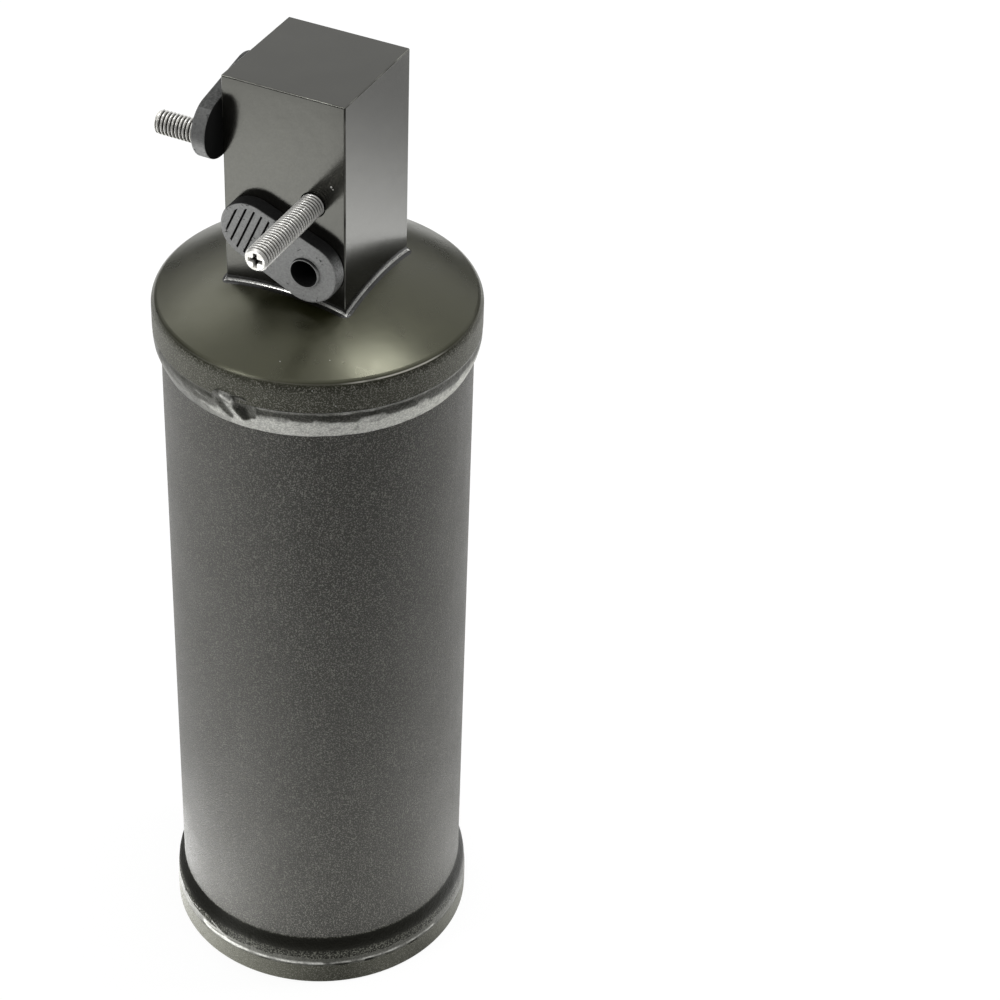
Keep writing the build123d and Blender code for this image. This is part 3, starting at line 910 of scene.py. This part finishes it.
def stroke(angle, up, start, end, width, rise):
    """A rounded ridge or groove from one (angle, height) to another."""
    x = angle * per_degree
    ax, ay, bx, by = start[0] * per_degree, start[1], end[0] * per_degree, end[1]
    length = max((bx - ax) ** 2 + (by - ay) ** 2, 1e-9)
    share = np.clip(((x - ax) * (bx - ax) + (up - ay) * (by - ay)) / length, 0, 1)
    away = np.hypot(x - ax - share * (bx - ax), up - ay - share * (by - ay))
    return rise * np.exp(-((away / width) ** 2))


def dimple(angle, up, centre, half_wide, half_high, tilt, depth, rim):
    """An oval hollow with a low rim round it."""
    x = (angle - centre[0]) * per_degree
    y = up - centre[1]
    lengthwise = (x * cos(radians(tilt)) + y * sin(radians(tilt))) / half_wide
    across = (y * cos(radians(tilt)) - x * sin(radians(tilt))) / half_high
    away = np.hypot(lengthwise, across)
    return -depth * np.exp(-1.4 * away**2) + rim * np.exp(-(((away - 1.35) / 0.3) ** 2))


def fade(angle, start, full, end_full, end):
    """1 between two angles, falling softly to 0 outside them."""
    rise = np.clip((angle - start) / (full - start), 0, 1)
    fall = np.clip((end - angle) / (end - end_full), 0, 1)
    return ease(np.minimum(rise, fall))


def knots(values, count):
    """Reads a smooth row of values off a few of them."""
    places = np.linspace(0, 1, len(values))
    steps = np.linspace(0, 1, count)
    values = np.array(values, float)
    slopes = np.gradient(values, places)
    spot = np.clip(np.searchsorted(places, steps, side="right") - 1, 0, len(values) - 2)
    gap = places[spot + 1] - places[spot]
    t = (steps - places[spot]) / gap
    h = (2 * t**3 - 3 * t**2 + 1, t**3 - 2 * t**2 + t, -2 * t**3 + 3 * t**2, t**3 - t**2)
    first = h[0] * values[spot] + h[1] * gap * slopes[spot]
    return first + h[2] * values[spot + 1] + h[3] * gap * slopes[spot + 1]


def ring_points(radius, height):
    """The places of a ring's points, row by row."""
    turn = np.radians(angles)
    return np.stack([radius * np.cos(turn), radius * np.sin(turn), height], axis=-1)


def painted_bead_light(radius, height, light_strokes, most):
    """Painted light on what turns down, and painted shade on what turns up."""
    turn = np.radians(angles)
    points = ring_points(radius, height)
    round_it = np.roll(points, -1, axis=1) - np.roll(points, 1, axis=1)
    normal = np.cross(round_it, np.gradient(points, axis=0))
    normal /= np.maximum(np.linalg.norm(normal, axis=-1, keepdims=True), 1e-9)
    outward = normal[..., 0] * np.cos(turn) + normal[..., 1] * np.sin(turn)
    lean = normal[..., 2] * np.sign(outward)
    light_from, light_over, shade_from, shade_over = 0.08, 0.32, 0.07, 0.20
    share = ease(np.clip((light_from - lean) / light_over, 0, 1)) * most
    for start, end, width, amount in light_strokes:
        share = share + stroke(angles, height, start, end, width, amount)
    # Painted shade on what turns up.
    painted_shade = ease(np.clip((lean - shade_from) / shade_over, 0, 1))
    return np.clip(share, 0, 1), painted_shade


def press_in(radius, height, press, marks, to_toe, sag):
    """Presses the marks in, lets the toe of the bead sag, and draws it in to the tube."""
    for start, end, width, rise in marks:
        press += stroke(angles, height, start, end, width, rise)
    middle = np.sin(np.linspace(0, pi, len(radius)))[:, None] ** 0.7
    radius = radius + press * middle
    height = height - np.outer(to_toe ** 2, sag)
    at_tube = to_toe[:, None] ** 12  # only the last rows reach the tube
    return radius * (1 - at_tube) + tube_r * at_tube, height


def weld_ring(name, radius, height, stands_for, painted_light, painted_shade):
    """A closed ring: the bead's face, then back up along the tube inside it."""
    low, high = height[-1], height[0]
    inside = np.full_like(low, tube_r)
    radius = np.vstack([radius, inside, inside])
    height = np.vstack([height, low, high])
    points = ring_points(radius, height).reshape(-1, 3)
    faces = closed_faces(*radius.shape)
    ring = piece(name, points, faces, weld_paint, "canister", "weld_paint", [stands_for], sharp=70)
    for label, share in (("painted_bead_light", painted_light), ("painted_bead_shade", painted_shade)):
        number_points(ring, label, np.vstack([share, np.zeros((2, len(angles)))]))
    return ring


# %% [markdown]
# ## The upper weld
#
# The bead that joins the top to the tube is full and round, and its lower
# half turns to the table and catches its light. On the front left the welder
# started and stopped: there the bead laps over the skirt, with a hollow
# beside it where the arc was drawn away.

# %% Shape the upper weld
rows = 50
belly_r = [39.96, 39.91, 39.78, 39.58, 39.28, 38.98, 38.7, 38.4, 38.1]
belly_z = [188.4, 187.6, 186.7, 185.8, 184.9, 184.1, 183.4, 182.8, 182.25]
full_r = knots([40.02, 40.02, 39.96, 39.92, 39.94] + belly_r, rows)
full_z = knots([190.2, 190.12, 189.9, 189.5, 189.0] + belly_z, rows)
lipped_r = knots([40.04, 40.09, 40.03, 39.94, 39.93] + belly_r, rows)
lipped_z = knots([190.5, 190.32, 190.08, 189.62, 189.05] + belly_z, rows)
lapped_r = knots([
    40.04, 40.3, 40.46, 40.46, 40.34, 40.2, 40.1,
    39.92, 39.62, 39.24, 38.9, 38.66, 38.38, 38.1,
], rows)
lapped_z = knots([
    192.0, 191.75, 191.2, 190.5, 189.7, 188.8, 187.7,
    186.5, 185.2, 184.2, 183.4, 182.95, 182.55, 182.25,
], rows)
lap = fade(angles, -101, -97, -87.5, -84.5)
lip = fade(angles, -90, -86, -14, -8) * (0.75 + 0.25 * waves(angles, 2, 6, 40)) * (1 - lap)
plain = 1 - lap - lip
radius = np.outer(full_r, plain) + np.outer(lipped_r, lip) + np.outer(lapped_r, lap)
height = np.outer(full_z, plain) + np.outer(lipped_z, lip) + np.outer(lapped_z, lap)
print("upper weld", radius.shape, "points")

# %% Press in the upper weld's marks
# Each mark: its start and end as (angle, height), its width, and its rise.
upper_marks = [
    ((-60, 189.2), (-52, 189.0), 0.9, -0.14), ((-45, 189.3), (-41, 189.2), 0.6, -0.1),
    ((-33, 189.4), (-29, 189.3), 0.7, -0.12), ((-13, 189.4), (-9, 189.4), 0.5, -0.1),
    ((-7, 189.3), (2, 189.4), 0.7, -0.2), ((-131, 189.7), (-100, 189.5), 0.85, -0.5),
    ((-63, 185.3), (-54, 188.0), 1.3, 0.05), ((-39, 185.8), (-32, 188.4), 1.2, 0.05),
    ((-21, 186.0), (-14, 188.6), 1.1, 0.05), ((4, 186.0), (12, 188.6), 1.2, 0.05),
    ((-97.0, 189.6), (-92.5, 185.6), 0.8, -0.34), ((-88.6, 184.9), (-84.0, 186.6), 0.6, 0.3),
    ((-86.4, 183.9), (-85.0, 184.4), 0.3, -0.25), ((-94.8, 191.5), (-91.8, 190.5), 1.0, 0.4),
    ((-107.5, 187.6), (-106.5, 187.4), 0.7, -0.16), ((-113, 188.4), (-103, 187.4), 1.0, -0.12),
    ((-104, 186.4), (-99, 185.8), 0.9, 0.08), ((-126, 188.4), (-116, 186.8), 1.0, -0.1),
    ((-23.4, 182.8), (-22.8, 182.6), 0.35, -0.14), ((-42.4, 182.8), (-41.8, 182.6), 0.45, -0.1),
    ((60, 187.5), (72, 188.9), 1.2, 0.06), ((118, 185.6), (126, 188.2), 1.0, 0.06),
    ((150, 189.3), (158, 189.2), 0.5, -0.2), ((96, 189.3), (103, 189.3), 0.5, -0.2),
]
# Each stroke of painted light: start, end, width, and how much light it paints.
upper_light_strokes = [
    ((-94.6, 191.4), (-91.8, 190.7), 0.95, 1.4), ((-88.2, 191.0), (-86.6, 187.8), 1.6, -1.8),
    ((-89.5, 185.2), (-84.2, 186.4), 0.5, 0.7), ((-97.5, 189.8), (-92.5, 185.8), 0.75, -0.9),
    ((-57, 188.4), (-49, 187.8), 0.9, -0.9), ((-37, 188.4), (-27, 187.8), 0.9, -0.7),
    ((-20, 188.4), (-6, 187.6), 1.0, -0.8), ((-104, 185.6), (-98, 185.2), 1.0, 0.3),
    ((-70, 188.2), (-64, 187.9), 0.5, -0.6), ((-44, 186.4), (-41, 186.2), 0.4, -0.4),
]
# How much painted light the bead gets round its ring, by angle.
painted_light_round = np.interp(
    angles,
    [-180, -168, -152, -108, -97, -84, -30, -10, 30, 80, 180],
    [0.68, 0.52, 0.30, 0.30, 0.50, 1.0, 1.0, 0.85, 0.70, 0.72, 0.68],
)
painted_light_round = painted_light_round * np.clip((190.2 - height) / 1.2, 0.35, 1)
press = 0.016 * ripples(angles, height, 3, 16, 48, 0.8)
press += 0.003 * ripples(angles, height, 5, 120, 260, 1.2)
press += dimple(angles, height, (-87.4, 189.4), 3.3, 2.0, -60, 1.10, 0.18)
sag = 0.10 + 0.09 * waves(angles, 7, 3, 40)
radius, height = press_in(radius, height, press, upper_marks, np.linspace(0, 1, rows), sag)
lapped_most_r = 41.5
limit = np.where((angles > -170) & (angles < -8), lapped_most_r, bead_most_r)
radius = np.clip(radius, tube_r, limit)
height = np.clip(height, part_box("upper_weld")[0].z / MM, None)
# Painted light on the underside, and painted shade where the bead turns up.
painted_light, painted_shade = painted_bead_light(radius, height, upper_light_strokes, painted_light_round)
weld_ring("upper_bead", radius, height, "upper_weld", painted_light, painted_shade * 0.6)

# %% [markdown]
# ## The lower weld
#
# The lower bead lies flatter. Its top is a soft ledge against the tube, and
# below it a lip with a fine crease runs along the rim of the pan, broken by a
# few pits. On the left one pass laps over the last.

# %% Shape the lower weld
rows = 40
lower_z = knots([
    15.5, 15.1, 14.6, 14.0, 13.3, 12.6, 11.9, 11.2,
    10.3, 9.3, 8.3, 7.6, 7.1, 6.75, 6.42,
], rows)
ledge_r = [38.1, 38.17, 38.38, 38.66, 38.99, 39.3, 39.53, 39.66]
creased_r = knots(ledge_r + [39.75, 39.82, 39.92, 40.02, 39.92, 39.89, 40.02], rows)
filled_r = knots(ledge_r + [39.74, 39.81, 39.88, 39.97, 39.98, 40.0, 40.03], rows)
crease = np.clip(0.45 + 0.5 * waves(angles, 23, 8, 50), 0, 1)
radius = np.outer(creased_r, crease) + np.outer(filled_r, 1 - crease)
height = np.repeat(lower_z[:, None], len(angles), axis=1)
print("lower weld", radius.shape, "points")

# %% Press in the lower weld's marks
lower_marks = [
    ((-70.5, 6.9), (-69.5, 6.9), 0.3, -0.16), ((-57.5, 6.9), (-50.5, 6.85), 0.3, -0.3),
    ((-44.5, 6.9), (-38.5, 6.9), 0.3, -0.3), ((-36.5, 6.9), (-35.5, 6.9), 0.25, -0.18),
    ((-26.5, 6.7), (-21.5, 6.7), 0.3, -0.28), ((-15.5, 6.8), (-14.5, 6.8), 0.25, -0.12),
    ((-11.5, 6.8), (-10.5, 6.8), 0.25, -0.12), ((-113.0, 6.9), (-92.0, 7.7), 0.6, 0.22),
    ((-110.0, 7.0), (-97.0, 7.5), 0.6, 0.1), ((-114.0, 11.4), (-103.0, 8.6), 0.85, 0.12),
    ((-110.0, 9.6), (-104.0, 8.4), 0.6, -0.1), ((-126.0, 10.2), (-116.0, 11.0), 0.9, 0.1),
    ((-125.0, 7.9), (-115.0, 7.6), 0.8, -0.16), ((-92.0, 8.0), (-91.6, 12.4), 0.45, 0.1),
    ((-90.4, 8.2), (-90.2, 12.2), 0.6, -0.07), ((-84.0, 9.8), (-74.0, 10.4), 0.8, 0.05),
    ((-62.0, 9.2), (-52.0, 9.8), 0.8, -0.05), ((-34.0, 9.4), (-24.0, 10.2), 0.7, 0.05),
    ((70, 6.9), (76, 6.9), 0.3, -0.25), ((120, 8.6), (131, 10.4), 0.6, 0.1),
    ((30, 6.9), (34, 6.9), 0.3, -0.2), ((165, 6.9), (172, 6.9), 0.3, -0.25),
]
press = 0.016 * ripples(angles, height, 11, 16, 60, 0.8)
press += 0.004 * ripples(angles, height, 13, 120, 260, 1.2)
sag = 0.10 + 0.07 * waves(angles, 17, 2, 14)
radius, height = press_in(radius, height, press, lower_marks, np.linspace(1, 0, rows), sag)
radius = np.clip(radius, tube_r, bead_most_r)
height = np.clip(height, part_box("lower_weld")[0].z / MM, None)
lower_light_strokes = [
    ((-130, 7.8), (-119, 7.8), 0.6, 0.3), ((-115, 7.8), (-96, 7.6), 0.8, 1.0),
    ((-94, 7.5), (-62, 7.4), 0.6, 0.55), ((-58, 7.5), (-12, 7.5), 0.5, 0.42),
    ((-113.5, 11.2), (-103.0, 8.8), 0.7, 0.22), ((-124.0, 9.8), (-115.0, 10.8), 0.7, 0.2),
]
# Painted light on the underside, and painted shade where the bead turns up.
painted_light, painted_shade = painted_bead_light(radius, height, lower_light_strokes, 0.30)
lower_bead = weld_ring("lower_bead", radius, height, "lower_weld", painted_light, painted_shade)
# The largest share of painted light on the lower bead.
print("thinnest paint", round(float(painted_light.max()), 2))

# %% Paint its ledge
lower_bead.data.materials.append(ledge_shade_paint)
# The ledge's painted shade goes on faces above this height, where the painted light is weak.
ledge_low, ledge_light = 9.2, 0.25
on_ledge = height + 0.25 * waves(angles, 31, 5, 40) > ledge_low
on_ledge &= painted_light < ledge_light
patch = np.zeros(len(lower_bead.data.polygons), dtype=np.int32)
patch[:on_ledge[:-1].size] = on_ledge[:-1].ravel()
lower_bead.data.polygons.foreach_set("material_index", patch)
print("ledge", int(patch.sum()), "faces")

# %% [markdown]
# ## A lip on each plug
#
# Round the hollow of each plug stands a low lip. It stiffens the rim where
# the plug is pushed in, and its wall shows as a pale crescent beside the dark
# hole. It is a small rounded profile turned round the hollow's axis.

# %% Turn the lips
# Each point: its distance from the axis, and how far out it lies, in mm.
lip_profile = [
    (3.28, -0.15), (3.3, 0.55), (3.38, 0.72), (3.52, 0.78), (3.68, 0.72), (3.78, 0.55),
    (3.84, -0.15),
]


def make_lip(name, middle, across, way, body):
    """A closed ring round a plug's hollow, from its profile in mm."""
    steps = 72
    third = Vector(way).cross(Vector(across))
    points = [
        Vector(middle) + r * (cos(a) * Vector(across) + sin(a) * third) + h * Vector(way)
        for r, h in lip_profile for a in np.linspace(0, 2 * pi, steps, endpoint=False)
    ]
    faces = closed_faces(len(lip_profile), steps)
    piece(name, points, faces, plug_plastic, body, "plug_plastic", sharp=50)


middle = (front_axis[0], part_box("front_port_plug")[0].y / MM, port_up["front_port_plug"])
make_lip("front_plug_lip", middle, (1, 0, 0), (0, -1, 0), "front_plug")
middle = (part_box("left_port_plug")[0].x / MM, 0, port_up["left_port_plug"])
make_lip("left_plug_lip", middle, (0, 1, 0), (-1, 0, 0), "left_plug")

# %% [markdown]
# ## Grit in the paint
#
# A few grains of dust settled on the wet crown and skirt, and one larger
# fleck sits on the block above the stud. They catch the light as pale dots.
# Each is a low round grain that stands half in the paint.

# %% Make one grain
pale_grit, surface, where = new_finish("pale_grit")
crust = cloud(where, 0.0002)
dust = tint(crust, (0.45, 0.45, 0.42, 1), (0.75, 0.75, 0.72, 1))
connect(surface, Base_Color=dust, Roughness=0.6)


def grain_of_dust(point, outward, size):
    """Points and faces of a low round grain lying on a surface."""
    outward = Vector(outward).normalized()
    side = outward.orthogonal().normalized()
    other = outward.cross(side)
    points = []
    for rise, wide in ((-0.4, 1.0), (0.25, 0.85), (0.5, 0.4)):
        for k in range(8):
            round_it = cos(k * pi / 4) * side + sin(k * pi / 4) * other
            points.append(Vector(point) + size * (rise * outward + wide * round_it))
    faces = grid_faces(3, 8) + [tuple(range(7, -1, -1)), tuple(range(16, 24))]
    return points, faces


print("one grain has", len(grain_of_dust((0, 0, 0), (0, 0, 1), 1.0)[1]), "faces")

# %% Scatter the grit
crown_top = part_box("top_cap")[1].z / MM
crown_r = 79.0
wall_y = block_low.y / MM
# On the crown: azimuth, distance from the axis, size. On the skirt: azimuth, height, size.
on_crown = (
    (-100.5, 32.4, 0.17), (-96.3, 35.2, 0.17), (-106.3, 31.0, 0.11),
    (-76.1, 34.7, 0.20), (-56.9, 33.9, 0.22), (-82.0, 30.5, 0.10),
)
on_skirt = ((-63.5, 196.6, 0.13), (-55.7, 192.2, 0.15), (-118.0, 193.4, 0.10))
spots = []
for azimuth, away, size in on_crown:
    x, y = away * cos(radians(azimuth)), away * sin(radians(azimuth))
    drop = sqrt(crown_r**2 - away**2) - crown_r
    spots.append(((x, y, crown_top + drop), (x, y, crown_r + drop), size))
for azimuth, up, size in on_skirt:
    out = compass(azimuth)
    spots.append(((skirt_r * out[0], skirt_r * out[1], up), out, size))
spots += [((12.3, wall_y, 238.8), (0, -1, 0), 0.30), ((12.75, wall_y, 238.25), (0, -1, 0), 0.18)]
grit_points, grit_faces = [], []
for point, outward, size in spots:
    points, faces = grain_of_dust(point, outward, size)
    grit_faces += [tuple(v + len(grit_points) for v in f) for f in faces]
    grit_points += points
piece("paint_grit", grit_points, grit_faces, pale_grit, "canister", "cap_paint")
